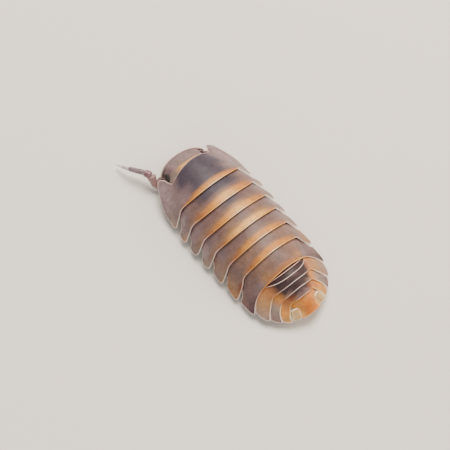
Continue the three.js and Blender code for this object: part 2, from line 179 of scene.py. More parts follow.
# Across and height of the section at s: 0 at the midline, 1 at the bend, 2 at the flap's rim
def section(s, v):
    backHeight, bendWidth, bendHeight, rimWidth, rimHeight = np.moveaxis(along(bodyLines, s), -1, 0)
    place = np.abs(v)
    slope = (bendHeight - rimHeight) / (rimWidth - bendWidth)
    secant = slope * bendWidth / (backHeight - bendHeight) - 1
    bendAngle = np.arccos(1 / np.maximum(secant, 1.4))
    angle = np.minimum(place, 1) * bendAngle
    flap = np.maximum(place - 1, 0)
    across = bendWidth / np.sin(bendAngle) * np.sin(angle) + flap * (rimWidth - bendWidth)
    drop = (backHeight - bendHeight) / (1 - np.cos(bendAngle)) * (1 - np.cos(angle))
    height = backHeight - drop + flap * (rimHeight - bendHeight) + animal["flare"] * flap**3
    return np.sign(v) * across, height


# The same with the bend rounded, as points in millimetres
def shellSurface(s, v):
    s, v = np.broadcast_arrays(np.asarray(s, float), np.asarray(v, float))
    offsets = np.linspace(-1, 1, 9) * animal["bendBlend"]
    weights = np.cos(np.linspace(-1, 1, 9) * 1.4)
    across, height = 0, 0
    for offset, weight in zip(offsets, weights / weights.sum()):
        x, z = section(s, v + offset)
        across = across + weight * x
        height = height + weight * z
    return np.stack([across, s - animal["originS"], height], axis=-1)


def shellNormal(s, v):
    step = 0.02
    around = shellSurface(s, v + step) - shellSurface(s, v - step)
    lengthwise = shellSurface(s + step, v) - shellSurface(s - step, v)
    normal = np.cross(around, lengthwise)
    return normal / np.linalg.norm(normal, axis=-1, keepdims=True)


def hindEdge(plate, v):
    mid, bend, rim = plate["edge"]
    total = 0
    for offset in (-0.12, -0.06, 0, 0.06, 0.12):  # evens out the corner at the bend
        place = np.abs(v) + offset * smooth(np.abs(v) * 2)
        back = lerp(mid, bend, np.clip(place, 0, 1) ** 2.5)
        flap = lerp(bend, rim, np.clip(place - 1, 0, 1) ** plate["swing"])
        total = total + np.where(place <= 1, back, flap)
    return total / 5


def crescentEdge(crescent, v):
    rise = crescent["rise"] * np.clip(1 - np.abs(v) ** crescent["power"], 0, None)
    return hindEdge(trunkPlates[6], v) + rise - crescent["inset"] * np.abs(v)


# Front edge of a plate: tucked under the plate before it, and free towards the end of the flap
def tuckedFront(plate, before, v):
    flap = np.abs(v) - 1
    free = smooth((flap - 0.25) / 0.55)
    hidden = lerp(animal["tuck"], animal["flapTuck"], smooth((flap + 0.3) / 0.5))
    waist = plate.get("waist", 0) * hump(flap, 0.6, 0.16)
    return before + lerp(-hidden, plate["notch"], free) + waist


def collarFront(v):
    return along(collar, np.abs(v))[..., 0] + along(collarSkew, v)[..., 0]


# Mesh helpers


def hexColour(code):
    channels = [int(code[k:k + 2], 16) / 255 for k in (0, 2, 4)]
    linear = [c / 12.92 if c <= 0.04045 else ((c + 0.055) / 1.055) ** 2.4 for c in channels]
    return (*linear, 1)


# A mesh object from points in millimetres, with named values for each point
def makeObject(name, points, faces, values=None):
    mesh = bpy.data.meshes.new(name)
    points = np.asarray(points, float).reshape(-1, 3)
    mesh.from_pydata((points * mm).tolist(), [], faces)
    for label, numbers in (values or {}).items():
        attribute = mesh.attributes.new(label, "FLOAT", "POINT")
        attribute.data.foreach_set("value", np.asarray(numbers, np.float32).ravel())
    mesh.polygons.foreach_set("use_smooth", np.ones(len(mesh.polygons), bool))
    mesh.update()
    made = bpy.data.objects.new(name, mesh)
    bpy.context.scene.collection.objects.link(made)
    return made


def signedVolume(points, faces):
    total = 0
    for face in faces:
        corners = points[list(face)]
        fan = np.cross(corners[1:-1], corners[2:])
        total += (fan @ corners[0]).sum()
    return total


# Closed skin through rows of closed profiles, with a middle point at each end: its points, its
# faces pointing outward, and named values for each point
def loftPart(rows, values=None):
    rowCount, size = rows.shape[:2]
    points = np.concatenate([rows.reshape(-1, 3), [rows[0].mean(0), rows[-1].mean(0)]])
    faces = []
    for row in range(rowCount - 1):
        for k in range(size):
            a, b = row * size + k, row * size + (k + 1) % size
            faces.append((a, b, b + size, a + size))
    for row, centre in ((0, rowCount * size), (rowCount - 1, rowCount * size + 1)):
        for k in range(size):
            a, b = row * size + k, row * size + (k + 1) % size
            faces.append((centre, a, b) if row else (centre, b, a))
    if signedVolume(points, faces) < 0:
        faces = [face[::-1] for face in faces]
    spread = {
        label: np.concatenate([numbers.ravel(), [numbers[0].mean(), numbers[-1].mean()]])
        for label, numbers in (values or {}).items()
    }
    return points, faces, spread


# Several closed skins, each with its points, faces and values, as one object
def joinedObject(name, parts):
    points, faces, start = [], [], 0
    values = {label: [] for label in parts[0][2]}
    for partPoints, partFaces, partValues in parts:
        points.append(partPoints)
        faces += [tuple(start + k for k in face) for face in partFaces]
        for label, numbers in partValues.items():
            values[label].append(np.asarray(numbers).ravel())
        start += len(partPoints)
    joined = {label: np.concatenate(numbers) for label, numbers in values.items()}
    return makeObject(name, np.concatenate(points), faces, joined)


def mirrored(samples):
    return np.concatenate([-samples[:0:-1], samples])


# Unit normals of a grid of points, all turned upward
def upwardNormals(grid):
    normal = np.cross(np.gradient(grid, axis=0), np.gradient(grid, axis=1))
    normal /= np.linalg.norm(normal, axis=-1, keepdims=True)
    return normal * np.sign(normal[..., 2:])


# Distance of every point to the nearest of some others
def distanceTo(points, targets):
    tree = KDTree(len(targets))
    for k, target in enumerate(targets):
        tree.insert(target, k)
    tree.balance()
    return np.array([tree.find(point)[2] for point in points.reshape(-1, 3)]).reshape(points.shape[:-1])


def finishPiece(piece, material, slotName, *nodes):
    piece.data.materials.clear()
    piece.data.materials.append(material)
    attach(piece, "root")
    if nodes:
        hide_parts(*nodes)
    return piece


# Adds a node with its settings, its inputs and, on a ramp, its colour stops. A node given as an
# input stands for its first output in use, and a list is linked in its order.
def addNode(tree, kind, inputs=None, stops=(), **settings):
    node = tree.nodes.new(kind)
    for key, value in settings.items():
        setattr(node, key, value)
    for key, value in (inputs or {}).items():
        for given in value if isinstance(value, list) else [value]:
            if isinstance(given, bpy.types.Node):
                given = next(socket for socket in given.outputs if socket.enabled)
            if isinstance(given, bpy.types.NodeSocket):
                tree.links.new(given, node.inputs[key])
            else:
                node.inputs[key].default_value = given
    if stops:
        elements = node.color_ramp.elements
        while len(elements) < len(stops):
            elements.new(0.5)
        for element, (place, code) in zip(elements, stops):
            element.position = place
            element.color = hexColour(code)
    return node


# A material whose shader gets the inputs that surface works out from the place on the object
def newMaterial(name, surface, *details):
    material = bpy.data.materials.new(name)
    material.use_nodes = True
    tree = material.node_tree
    tree.nodes.clear()
    place = addNode(tree, "ShaderNodeTexCoord").outputs["Object"]
    shader = addNode(tree, "ShaderNodeBsdfPrincipled", surface(tree, place, *details))
    addNode(tree, "ShaderNodeOutputMaterial", {"Surface": shader})
    return material


noiseSpan = {"From Min": 0.3, "From Max": 0.7}  # nearly all of a noise's values lie between these


# Calcified chitin, smooth as glazed horn: pigment lies under a clear skin, so the colour is soft
# and cloudy, and thin edges go pale.
chitin = {
    "cloudSize": 0.55,  # millimetres across one cloud of pigment
    "cloudTones": (0.8, 1.16),  # darkest and lightest cloud
    "speckSize": 0.13,  # coarser than real pigment cells, so that they show
    "speckTones": (0.84, 1.14),
    "wander": 0.06,  # how far the bands wander, in millimetres
    # painted shade: the head's furrow is darkened to this share of its colour, standing in for the shade in
    # the groove
    "furrowPaintedShade": 0.24,
    "roughness": 0.5,
    "coat": 0.06,
    "specular": 0.26,
}


def shellFinish(tree, place, look):
    look = plainLook | look
    cloud = addNode(tree, "ShaderNodeTexNoise", {
        "Vector": place, "Scale": 1 / (chitin["cloudSize"] * mm), "Detail": 3, "Roughness": 0.55,
    })
    speck = addNode(tree, "ShaderNodeTexNoise", {
        "Vector": place, "Scale": 1 / (chitin["speckSize"] * mm), "Detail": 2, "Roughness": 0.6,
    })
    around, fromHind, fromEdge, furrow = [
        addNode(tree, "ShaderNodeAttribute", attribute_name=label).outputs["Fac"]
        for label in ("sectionPlace", "fromHind", "fromEdge", "furrow")
    ]
    across = addNode(tree, "ShaderNodeMapRange", {"Value": around, "From Max": sectionPlaces[-1]})
    ramps = {
        key: addNode(tree, "ShaderNodeValToRGB", {"Fac": across}, pigmentStops(look[key]))
        for key in ("front", "middle", "band", "rim", "frontRim")
    }
    wander = addNode(tree, "ShaderNodeMapRange", {
        **noiseSpan, "Value": cloud, "To Min": -chitin["wander"], "To Max": chitin["wander"],
    })
    narrowing = addNode(tree, "ShaderNodeMapRange", {
        "Value": around, "From Min": 0.1, "To Max": look["narrowing"],
    })
    wandered = addNode(tree, "ShaderNodeMath", {0: fromHind, 1: wander}, operation="ADD")
    wandered = addNode(tree, "ShaderNodeMath", {0: wandered, 1: narrowing}, operation="ADD")
    colour = ramps["front"]
    for key, (start, full) in (("middle", look["reach"][:2]), ("band", look["reach"][2:])):
        share = addNode(tree, "ShaderNodeMapRange", {
            "Value": wandered, "From Min": start, "From Max": full,
        }, interpolation_type="SMOOTHSTEP")
        colour = addNode(tree, "ShaderNodeMix", {
            "Factor": share, 6: colour, 7: ramps[key],
        }, data_type="RGBA")
    # Painted shade: the colour is darkened along the head's furrow as if the groove lay in shade; the clouds
    # and specks of pigment then vary it
    tone = addNode(tree, "ShaderNodeMapRange", {
        "Value": furrow, "To Min": 1, "To Max": chitin["furrowPaintedShade"],
    })
    for noise, (darkest, lightest) in ((cloud, chitin["cloudTones"]), (speck, chitin["speckTones"])):
        patch = addNode(tree, "ShaderNodeMapRange", {
            **noiseSpan, "Value": noise, "To Min": darkest, "To Max": lightest,
        })
        tone = addNode(tree, "ShaderNodeMath", {0: tone, 1: patch}, operation="MULTIPLY")
    mottled = addNode(tree, "ShaderNodeVectorMath", {0: colour, "Scale": tone}, operation="SCALE")
    edge = addNode(tree, "ShaderNodeMapRange", {
        "Value": fromEdge, "From Min": look["rimWidth"] * 0.55, "From Max": look["rimWidth"] * 1.35,
        "To Min": 1, "To Max": 0,
    }, interpolation_type="SMOOTHSTEP")
    ahead = addNode(tree, "ShaderNodeMapRange", {
        "Value": fromHind, "From Min": 0.25, "From Max": 0.6,
    }, interpolation_type="SMOOTHSTEP")
    rim = addNode(tree, "ShaderNodeMix", {
        "Factor": ahead, 6: ramps["rim"], 7: ramps["frontRim"],
    }, data_type="RGBA")
    rimmed = addNode(tree, "ShaderNodeMix", {"Factor": edge, 6: mottled, 7: rim}, data_type="RGBA")
    relief = addNode(tree, "ShaderNodeBump", {
        "Height": speck, "Strength": 0.25, "Distance": 0.012 * mm,
    })
    return {
        "Base Color": rimmed, "Normal": relief, "Roughness": chitin["roughness"], "IOR": 1.53,
        "Specular IOR Level": chitin["specular"],
        "Subsurface Weight": 0.3, "Subsurface Radius": (1.0, 0.6, 0.4), "Subsurface Scale": 0.16 * mm,
        "Coat Weight": chitin["coat"], "Coat Roughness": 0.32,
    }


# Soft cuticle of skin and mouth, faintly cloudy and a little damp
def softFinish(tree, place, look):
    cloud = addNode(tree, "ShaderNodeTexNoise", {
        "Vector": place, "Scale": 1 / (look["grain"] * mm), "Detail": 3, "Roughness": 0.6,
    })
    relief = addNode(tree, "ShaderNodeBump", {
        "Height": cloud, "Strength": 0.3, "Distance": 0.02 * mm,
    })
    return {
        "Base Color": addNode(tree, "ShaderNodeValToRGB", {"Fac": cloud}, look["stops"]),
        "Normal": relief, "Roughness": look["roughness"], "IOR": 1.5,
        "Subsurface Weight": 0.35, "Subsurface Radius": (1.0, 0.65, 0.5), "Subsurface Scale": 0.12 * mm,
        "Coat Weight": look["coat"], "Coat Roughness": 0.2,
    }


# Shell plates

# Top of a plate between its edges; before is the hind edge of the plate in front, v the section
# places, and dip how much of the step down to that plate it takes
def plateTop(v, front, hind, before, dip):
    share = 1 - (1 - np.linspace(0, 1, 34)) ** 1.5
    s = lerp(front[:, None], hind[:, None], share)
    place = np.broadcast_to(v[:, None], s.shape)
    step = dip * lerp(animal["shellStep"], animal["rimStep"], np.clip(np.abs(place) - 1, 0, 1))
    visible = np.maximum(hind - before, 0.3)[:, None]
    shown = (s - before[:, None]) / visible
    depth = step * np.clip(1 - shown, 0, 2.2) ** 1.5
    normal = shellNormal(s, place)
    return shellSurface(s, place) - normal * depth[..., None], normal, s


# Numbers of a plate's top, carried round its lip and back along its underside
def carriedUnder(numbers, lipCount, frontCount):
    lip = np.repeat(numbers[:, -1:], lipCount, axis=1)
    front = np.repeat(numbers[:, :1], frontCount, axis=1)
    return np.concatenate([numbers, lip, numbers[:, ::-2], front], axis=1)


def addPlate(name, v, front, hind, before, freeFront, dip=1):
    top, normal, s = plateTop(v, front, hind, before, dip)
    outline = [top[:, -1], top[0], top[-1], top[freeFront, 0]]
    outline = np.concatenate([np.concatenate([line, (line[1:] + line[:-1]) / 2]) for line in outline])
    edge = distanceTo(top, outline)
    bead = animal["beadHeight"] * hump(edge, 0, animal["beadWidth"])
    top = top + normal * bead[..., None]
    thick = lerp(animal["edgeThickness"], animal["plateThickness"], smooth(edge / 0.4))
    under = top - normal * (thick + bead * 0.5)[..., None]
    half = (top[:, -1:] - under[:, -1:]) / 2
    outward = top[:, -1:] - top[:, -2:-1]
    outward *= np.linalg.norm(half, axis=-1, keepdims=True) / np.linalg.norm(outward, axis=-1, keepdims=True)
    angle = np.radians([60, 30, 0, -30, -60])[:, None]
    lip = under[:, -1:] + half + half * np.sin(angle) + outward * np.cos(angle)
    blunt = (top[:, :1] + under[:, :1]) / 2 - (top[:, 1:2] - top[:, :1]) * 0.3
    rows = np.concatenate([top, lip, under[:, ::-2], blunt], axis=1)
    values = {
        "sectionPlace": np.abs(np.broadcast_to(v[:, None], s.shape)),
        "fromHind": hind[:, None] - s,
        "fromEdge": edge,
    }
    values = {label: carriedUnder(numbers, len(angle), 1) for label, numbers in values.items()}
    piece = makeObject(name + "_shell", *loftPart(rows, values))
    material = newMaterial(f"chitin shell {name}", shellFinish, shellLooks[name])
    finishPiece(piece, material, "back_shell" if name.startswith("pereonite") else "tail_shell", name)


# Flap ends are round: both edges draw together towards the tip
def roundedEnd(plate, front, hind, v):
    flap = np.abs(v) - 1
    tip = lerp(front, hind, plate["tip"])
    ends = []
    for edge, (begin, square) in ((front, plate["frontEnd"]), (hind, plate["hindEnd"])):
        t = np.clip((flap - begin) / (1 - begin), 0, 1) * 0.995
        ends.append(lerp(tip, edge, (1 - t**square) ** (1 / square)))
    return ends


def flapSamples(roundFrom):
    back = np.linspace(0, 1, 36, endpoint=False)
    flap = np.linspace(1, 1 + roundFrom, 26, endpoint=False)
    tip = 1 + roundFrom + (1 - roundFrom) * np.sin(np.linspace(0, math.pi / 2, 24))
    return mirrored(np.concatenate([back, flap, tip]))


# Pigments of the shell
pigments = {
    "slate": "443d49",
    "lilac": "7a6669",
    "plum": "6e5856",
    "umber": "7c6256",
    "ash": "7c6a68",
    "sand": "96704e",
    "tan": "98643e",
    "russet": "7c4324",
    "gold": "c8863c",
    "honey": "dea85e",
    "orange": "c4742c",
    "wine": "38272a",
    "soot": "2c2126",
    "fawn": "a87e54",
    "copper": "b07448",
    "smoke": "8c7c74",
    "mulberry": "4c3a40",
    "straw": "b8924e",
    "rose": "d0aca0",
    "pearl": "d8c8c0",
    "ivory": "f0dcbc",
    "mist": "8c787c",
}
sectionPlaces = (0, 0.35, 0.7, 1, 1.4, 2)  # from the midline over the bend to the flap's rim


def pigmentStops(names):
    return [(place / sectionPlaces[-1], pigments[name]) for place, name in zip(sectionPlaces, names.split())]


# Markings: pigments at those places, at the front of a plate, in its middle, in the band before
# its hind edge and on the edge itself; then where the middle and the band begin and are full,
# in millimetres from the hind edge. A plate's own look goes before the plain one.
plainLook = {
    "rim": "ivory honey gold rose pearl pearl",
    "frontRim": "rose rose rose rose pearl pearl",  # free front edges, beside the head and on the flaps
    "reach": (1.0, 0.65, 0.7, 0.32),
    "narrowing": 0.32,  # how much nearer the edge the band begins at the bend than at the midline
    "rimWidth": 0.031,
}
shellLooks = {
    "pereonite_1": {
        "front": "slate slate slate lilac mist lilac",
        "middle": "slate slate lilac lilac lilac smoke",
        "band": "gold gold tan plum lilac fawn",
        "reach": (1.9, 1.0, 0.66, 0.2),
    },
    "pereonite_2": {
        "front": "slate slate plum lilac mist lilac",
        "middle": "umber plum umber plum lilac ash",
        "band": "honey gold tan umber ash fawn",
        "reach": (1.25, 0.8, 0.85, 0.4),
    },
    "pereonite_3": {
        "front": "slate plum plum lilac lilac ash",
        "middle": "sand umber umber umber umber ash",
        "band": "honey gold tan umber umber ash",
        "reach": (1.1, 0.7, 0.75, 0.35),
    },
    "pereonite_4": {
        "front": "plum umber plum lilac mist ash",
        "middle": "umber sand umber umber umber smoke",
        "band": "honey honey tan umber umber smoke",
    },
    "pereonite_5": {
        "front": "plum plum plum lilac umber ash",
        "middle": "umber umber umber umber umber smoke",
        "band": "gold gold tan umber umber sand",
    },
    "pereonite_6": {
        "front": "plum umber umber plum umber sand",
        "middle": "umber umber umber plum umber sand",
        "band": "gold gold tan umber russet sand",
        "rim": "ivory honey gold rose rose pearl",
    },
    "pereonite_7": {
        "front": "plum umber umber plum plum plum",
        "middle": "plum umber sand lilac plum mulberry",
        "band": "tan tan tan umber mulberry mulberry",
        "rim": "honey honey honey gold rose pearl",
        "reach": (1.1, 0.7, 0.6, 0.25),
    },
    "pleonite_1": {
        "front": "soot wine wine russet russet russet",
        "middle": "soot wine wine russet russet russet",
        "band": "wine wine wine russet russet russet",
        "rim": "rose rose rose russet russet russet",
        "reach": (0.6, 0.4, 0.3, 0.1),
    },
    "pleonite_2": {
        "front": "soot wine wine russet tan tan",
        "middle": "soot wine wine russet tan tan",
        "band": "wine wine wine russet tan tan",
        "rim": "pearl pearl pearl rose tan tan",
        "reach": (0.6, 0.4, 0.3, 0.1),
    },
    "pleonite_3": {
        "front": "plum wine wine copper fawn smoke",
        "middle": "wine wine wine copper fawn lilac",
        "band": "wine wine wine copper smoke plum",
        "rim": "pearl pearl rose gold ivory pearl",
        "reach": (0.5, 0.3, 0.3, 0.12),
    },
    "pleonite_4": {
        "front": "wine wine wine gold smoke plum",
        "middle": "wine wine umber copper smoke mulberry",
        "band": "wine wine umber copper smoke mulberry",
        "rim": "pearl pearl rose gold ivory pearl",
        "reach": (0.5, 0.3, 0.3, 0.12),
    },
    "pleonite_5": {
        "front": "mulberry wine russet copper gold fawn",
        "middle": "mulberry plum tan gold gold straw",
        "band": "plum umber tan gold honey straw",
        "rim": "rose rose gold honey ivory ivory",
        "reach": (0.5, 0.3, 0.3, 0.12),
    },
}


def addPlates():
    before = None
    for plate in trunkPlates + tailPlates:
        if plate["name"] == "pleonite_3":
            before = addCrescents()
        v = flapSamples(min(plate["frontEnd"][0], plate["hindEnd"][0]))
        edgeBefore = before(v) if before else collarFront(v)
        front = tuckedFront(plate, edgeBefore, v) if before else edgeBefore
        freeFront = np.abs(v) > (1.5 if before else -1)  # all of it on the first plate
        dip = 0.6 if plate in tailPlates else 1 if before else 0.3
        front, hind = roundedEnd(plate, front, hindEdge(plate, v), v)
        addPlate(plate["name"], v, front, hind, edgeBefore, freeFront, dip)
        before = lambda places, made=plate: hindEdge(made, places)
    print("plates made")


# Two narrow plates of the tail that show only between the bends
def addCrescents():
    before = lambda places: hindEdge(trunkPlates[6], places)
    v = mirrored(np.linspace(0, 1, 60) ** 0.8)
    for crescent in crescents:
        edgeBefore = before(v)
        front = edgeBefore - animal["tuck"]
        addPlate(crescent["name"], v, front, crescentEdge(crescent, v), edgeBefore, np.zeros(len(v), bool))
        before = lambda places, made=crescent: crescentEdge(made, places)
    return before


addPlates()

# Flesh under the shell

# One skin under the plates: firm, pale and folded at each ring of the body
belly = {
    "from": 1.0, "to": 15.5, "rows": 150,
    "height": 1.5, "tailHeight": 1.1,  # underside above the floor
    "reach": 0.93,  # how far round the section its sides go
    "clearance": 0.42,  # depth of its top below the shell's surface
    "fold": 0.07,  # depth of the crease between two rings
    "foldWidth": 0.12,
    "foldAhead": 0.35,  # how far before a plate's hind edge its crease lies
    "tailFrom": 11.5, "tailOver": 3.5,  # where the underside begins to sink to the tail's height
    "endLength": 0.7,  # length over which its ends round off
    "skin": {"grain": 0.4, "stops": [(0.3, "6e5c58"), (0.7, "a08c84")], "roughness": 0.5, "coat": 0.15},
}


def addBelly():
    s = np.linspace(belly["from"], belly["to"], belly["rows"])
    edges = [hindEdge(plate, np.zeros(1))[0] for plate in trunkPlates + tailPlates]
    nearest = np.abs(s[:, None] - np.array(edges) + belly["foldAhead"]).min(1)
    place = np.linspace(-belly["reach"], belly["reach"], 41)[None] * np.ones((len(s), 1))
    sides = s[:, None] * np.ones_like(place)
    top = shellSurface(sides, place) - shellNormal(sides, place) * belly["clearance"]
    low = lerp(belly["height"], belly["tailHeight"], smooth((s - belly["tailFrom"]) / belly["tailOver"]))
    crease = belly["fold"] * hump(nearest, 0, belly["foldWidth"])
    low = np.minimum(low + crease, top[:, 0, 2] - 0.1)
    angle = np.linspace(0, math.pi, 33)[None, 1:-1]
    x = top[:, -1:, 0] * np.sign(np.cos(angle)) * np.abs(np.cos(angle)) ** 0.8
    z = lerp(top[:, -1:, 2], low[:, None], np.sin(angle) ** 0.6)
    under = np.stack([x, np.broadcast_to(top[:, :1, 1], x.shape), z], -1)
    rows = np.concatenate([top, under], axis=1)
    centre = rows.mean(1, keepdims=True)
    ends = np.clip(np.minimum(s - belly["from"], belly["to"] - s) / belly["endLength"], 0, 1)
    shrink = np.sqrt(1 - (1 - ends) ** 2) * 0.96 + 0.04
    rows = centre + (rows - centre) * np.stack([shrink, np.ones_like(shrink), shrink], -1)[:, None]
    piece = makeObject("belly_skin", *loftPart(rows))
    finishPiece(piece, newMaterial("damp belly skin", softFinish, belly["skin"]), "mouth")
    print("belly made")


# Head

head = {
    "halfWidth": 2.24,
    "hindMid": 0.95,
    "hindSide": 1.0,
    "hindReach": 0.95,  # how far round the section its hind edge goes
    "hindDepth": 0.19,  # its hind part lies this far under the first plate's surface
    "hindThickness": 0.13,
    "neck": 1.1,
    "turn": 1,  # degrees to the left, about the neck
    "aside": 0.07,  # and this far to the left
    "lean": 6,  # degrees its right side hangs, about its left eye
    "pivot": (1.8, 0, 1.7),
    "rimMid": -0.76,
    "rimSide": 0.16,
    "rimHeight": 1.68,
    "rimSideHeight": 1.5,
    "crownPlace": 0.62,  # where between hind edge and rim it arches most
    "crownDrop": 0.34,  # how far down towards the rim the arch starts
    "furrowDepth": 0.11,  # the furrow just inside the front rim
    "furrowFrom": 0.24,
    "furrowWidth": 0.06,
    "cheek": 0.1,  # height of the swelling in front of each eye
    "cheekAcross": (0.66, 0.2),  # its centre and width, as shares of the head's half-width
    "cheekAhead": (0.6, 0.4),  # the same from the hind edge, in millimetres
    "temple": 0.3,  # how much lower its sides lie at the eyes
    "templeFrom": 0.58,  # share of the half-width where that begins
    "rimThickness": 0.16,
    "faceSetBack": 0.3,
    "faceSwell": 0.16,
    "bottomHeight": 1.1,
    "bottomSideHeight": 1.3,
    "bottomBack": 0.5,
    "narrowing": 0.8,  # width of its underside as a share of the top's
    "sideDome": 0.1,
}
headLook = {
    "front": "lilac lilac lilac lilac lilac plum",
    "middle": "ash ash ash lilac lilac plum",
    "band": "honey honey honey fawn smoke ash",
    "rim": "pearl pearl pearl pearl rose rose",
    "rimWidth": 0.08,
    "reach": (1.1, 0.7, 0.44, 0.18),
    "narrowing": 0,
}


def segment(a, b, count):
    t = np.linspace(0, 1, count + 2)[1:-1][None, :, None]
    return a[:, None] + (b - a)[:, None] * t


# Rows added beyond the first and last profile of a loft, so that its ends are domed
def domedEnds(rows, reach):
    ends = []
    for row, side in ((rows[0], rows[0] - rows[2]), (rows[-1], rows[-1] - rows[-3])):
        out = side.mean(0)
        out /= np.linalg.norm(out)
        centre = row.mean(0)
        angles = np.radians([12, 24, 36, 48, 60, 72, 84])
        ends.append([centre + (row - centre) * math.cos(a) + out * reach * math.sin(a) for a in angles])
    return np.concatenate([ends[0][::-1], rows, ends[1]])


def turnedAbout(points, axis, degrees, pivot):
    turn = np.array(Matrix.Rotation(math.radians(degrees), 3, axis))
    return (np.asarray(points) - pivot) @ turn.T + pivot


# Points of the head as it is held: turned about the neck, aside, its right side hanging
def heldHead(points):
    neck = np.array([0, head["neck"] - animal["originS"], 0])
    points = turnedAbout(points, "Z", head["turn"], neck) + np.array([head["aside"], 0, 0])
    return turnedAbout(points, "Y", -head["lean"], np.array(head["pivot"]))


# Arched top of the head, from under the first plate forward to the rim; t runs across it from -1
# to 1. With it go the distances to its hind edge and its rim, and the depth of its furrow.
def headTop(t, back, rim):
    across, rimY, rimZ = rim.T
    crown = np.stack([
        (back[:, 0] + across) / 2,
        lerp(back[:, 1], rimY, head["crownPlace"]),
        lerp(back[:, 2], rimZ, head["crownDrop"]),
    ], -1)
    u = np.linspace(0, 1, 40)[None, :, None]
    top = (1 - u) ** 2 * back[:, None] + 2 * u * (1 - u) * crown[:, None] + u * u * rim[:, None]
    side = np.abs(t)[:, None]
    sides = smooth((side - head["templeFrom"]) / (1 - head["templeFrom"]))
    top[..., 2] -= head["temple"] * sides * np.sin(math.pi * u[..., 0])
    fromRim = distanceTo(top, top[:, -1])
    fromHind = distanceTo(top, top[:, 0]) - 0.25
    furrow = hump(fromRim, head["furrowFrom"], head["furrowWidth"])
    bead = animal["beadHeight"] * hump(fromRim, 0, animal["beadWidth"])
    cheek = head["cheek"] * hump(side, *head["cheekAcross"]) * hump(fromHind, *head["cheekAhead"])
    relief = bead - head["furrowDepth"] * furrow + cheek
    return top + upwardNormals(top) * relief[..., None], fromHind, fromRim, furrow


def addHead():
    t = mirrored(np.sin(np.linspace(0, math.pi / 2, 44)))
    origin = animal["originS"]
    square = t * t
    hind = lerp(head["hindMid"], head["hindSide"], square)
    hindNormal = shellNormal(hind, t * head["hindReach"])
    back = shellSurface(hind, t * head["hindReach"]) - hindNormal * head["hindDepth"]
    across = head["halfWidth"] * t
    rimY = lerp(head["rimMid"], head["rimSide"], 1 - np.sqrt(1 - (0.98 * t) ** 2)) - origin
    rimZ = lerp(head["rimHeight"], head["rimSideHeight"], square)
    top, fromHind, fromRim, furrow = headTop(t, back, np.stack([across, rimY, rimZ], -1))
    floorZ = lerp(head["bottomHeight"], head["bottomSideHeight"], square)
    low = across * head["narrowing"]
    faceY = np.minimum(rimY + head["faceSetBack"], head["bottomBack"] - origin - 0.3)
    backY = np.maximum(head["bottomBack"] - origin, faceY + 0.25)
    lip = np.stack([across * 0.985, rimY - 0.02, rimZ - head["rimThickness"] * 0.44], -1)
    brow = np.stack([across * 0.97, rimY + 0.07, rimZ - head["rimThickness"]], -1)
    chin = np.stack([low, faceY, floorZ], -1)
    throat = np.stack([low, backY, floorZ], -1)
    nape = np.stack([back[:, 0] * 0.93, back[:, 1] - 0.3, back[:, 2] - 0.45], -1)
    underHind = back - hindNormal * head["hindThickness"] + np.array([0, -0.02, 0])
    hindRound = back - hindNormal * head["hindThickness"] / 2 + np.array([0, 0.05, 0])
    face = segment(brow, chin, 12)
    swell = np.sin(np.linspace(0, math.pi, 14)[1:-1]) * (1 - square)[:, None]
    face[..., 1] -= head["faceSwell"] * swell
    rows = np.concatenate([
        top, lip[:, None], brow[:, None], face, chin[:, None], segment(chin, throat, 4),
        throat[:, None], segment(throat, nape, 6), nape[:, None], segment(nape, underHind, 3),
        underHind[:, None], hindRound[:, None],
    ], axis=1)
    grown = domedEnds(rows, head["sideDome"])
    far = np.full((len(t), rows.shape[1] - top.shape[1]), 1.0)  # the underside counts as far off
    values = {
        "sectionPlace": np.repeat(np.abs(t * 2)[:, None], rows.shape[1], axis=1),
        "fromHind": np.concatenate([fromHind, far], axis=1),
        "fromEdge": np.concatenate([fromRim, far], axis=1),
        # the furrow's share also sets the painted shade that darkens the groove's colour
        "furrow": np.concatenate([furrow, far * 0], axis=1),
    }
    extra = (len(grown) - len(rows)) // 2
    values = {label: np.pad(numbers, ((extra, extra), (0, 0)), "edge") for label, numbers in values.items()}
    piece = makeObject("head_shell", *loftPart(heldHead(grown), values))
    finishPiece(piece, newMaterial("chitin shell head", shellFinish, headLook), "head_shell", "head")
    print("head made")


# Rings round the line between two points, their radii given at shares of its length
def spindle(start, end, stations, sides):
    start, end = np.asarray(start, float), np.asarray(end, float)
    axis = end - start
    length = np.linalg.norm(axis)
    axis = axis / length
    aside = np.cross(axis, (0, 0, 1) if abs(axis[2]) < 0.9 else (1, 0, 0))
    aside /= np.linalg.norm(aside)
    up = np.cross(aside, axis)
    angle = np.linspace(0, 2 * math.pi, sides, endpoint=False)
    ring = np.cos(angle)[:, None] * aside + np.sin(angle)[:, None] * up
    return np.stack([start + axis * length * share + ring * radius for share, radius in stations])


# Smooth outline of one limb article: narrow at its hinge, swollen before its far end
articleShape = [
    (-0.04, 0.25), (-0.02, 0.5), (0.02, 0.68), (0.08, 0.82), (0.18, 0.95), (0.32, 1.0), (0.5, 0.99),
    (0.68, 1.0), (0.82, 1.06), (0.92, 1.08), (0.97, 0.98), (1.0, 0.8), (1.02, 0.5), (1.03, 0.2),
]


# The articles between joints, each (across, s, height, radius)
def limbParts(joints, sides):
    parts = []
    for k, (start, end) in enumerate(zip(joints[:-1], joints[1:])):
        stations = [(share, lerp(start[3], end[3], np.clip(share, 0, 1)) * r) for share, r in articleShape]
        points = [(x, s - animal["originS"], z) for x, s, z, _ in (start, end)]
        rows = spindle(*points, stations, sides)
        parts.append(loftPart(rows, {"article": np.full(rows.shape[:2], float(k))}))
    return parts


# Eyes: an oval field of small lenses, near black with a wet gloss
eye = {
    "across": 1.86, "place": 0.46, "height": 1.58, "radii": (0.19, 0.36, 0.2),
    "lens": 0.05,
    "splay": 15,  # degrees its hind end stands out
    "stops": [(0.35, "120d0c"), (0.65, "241a1a")],
}


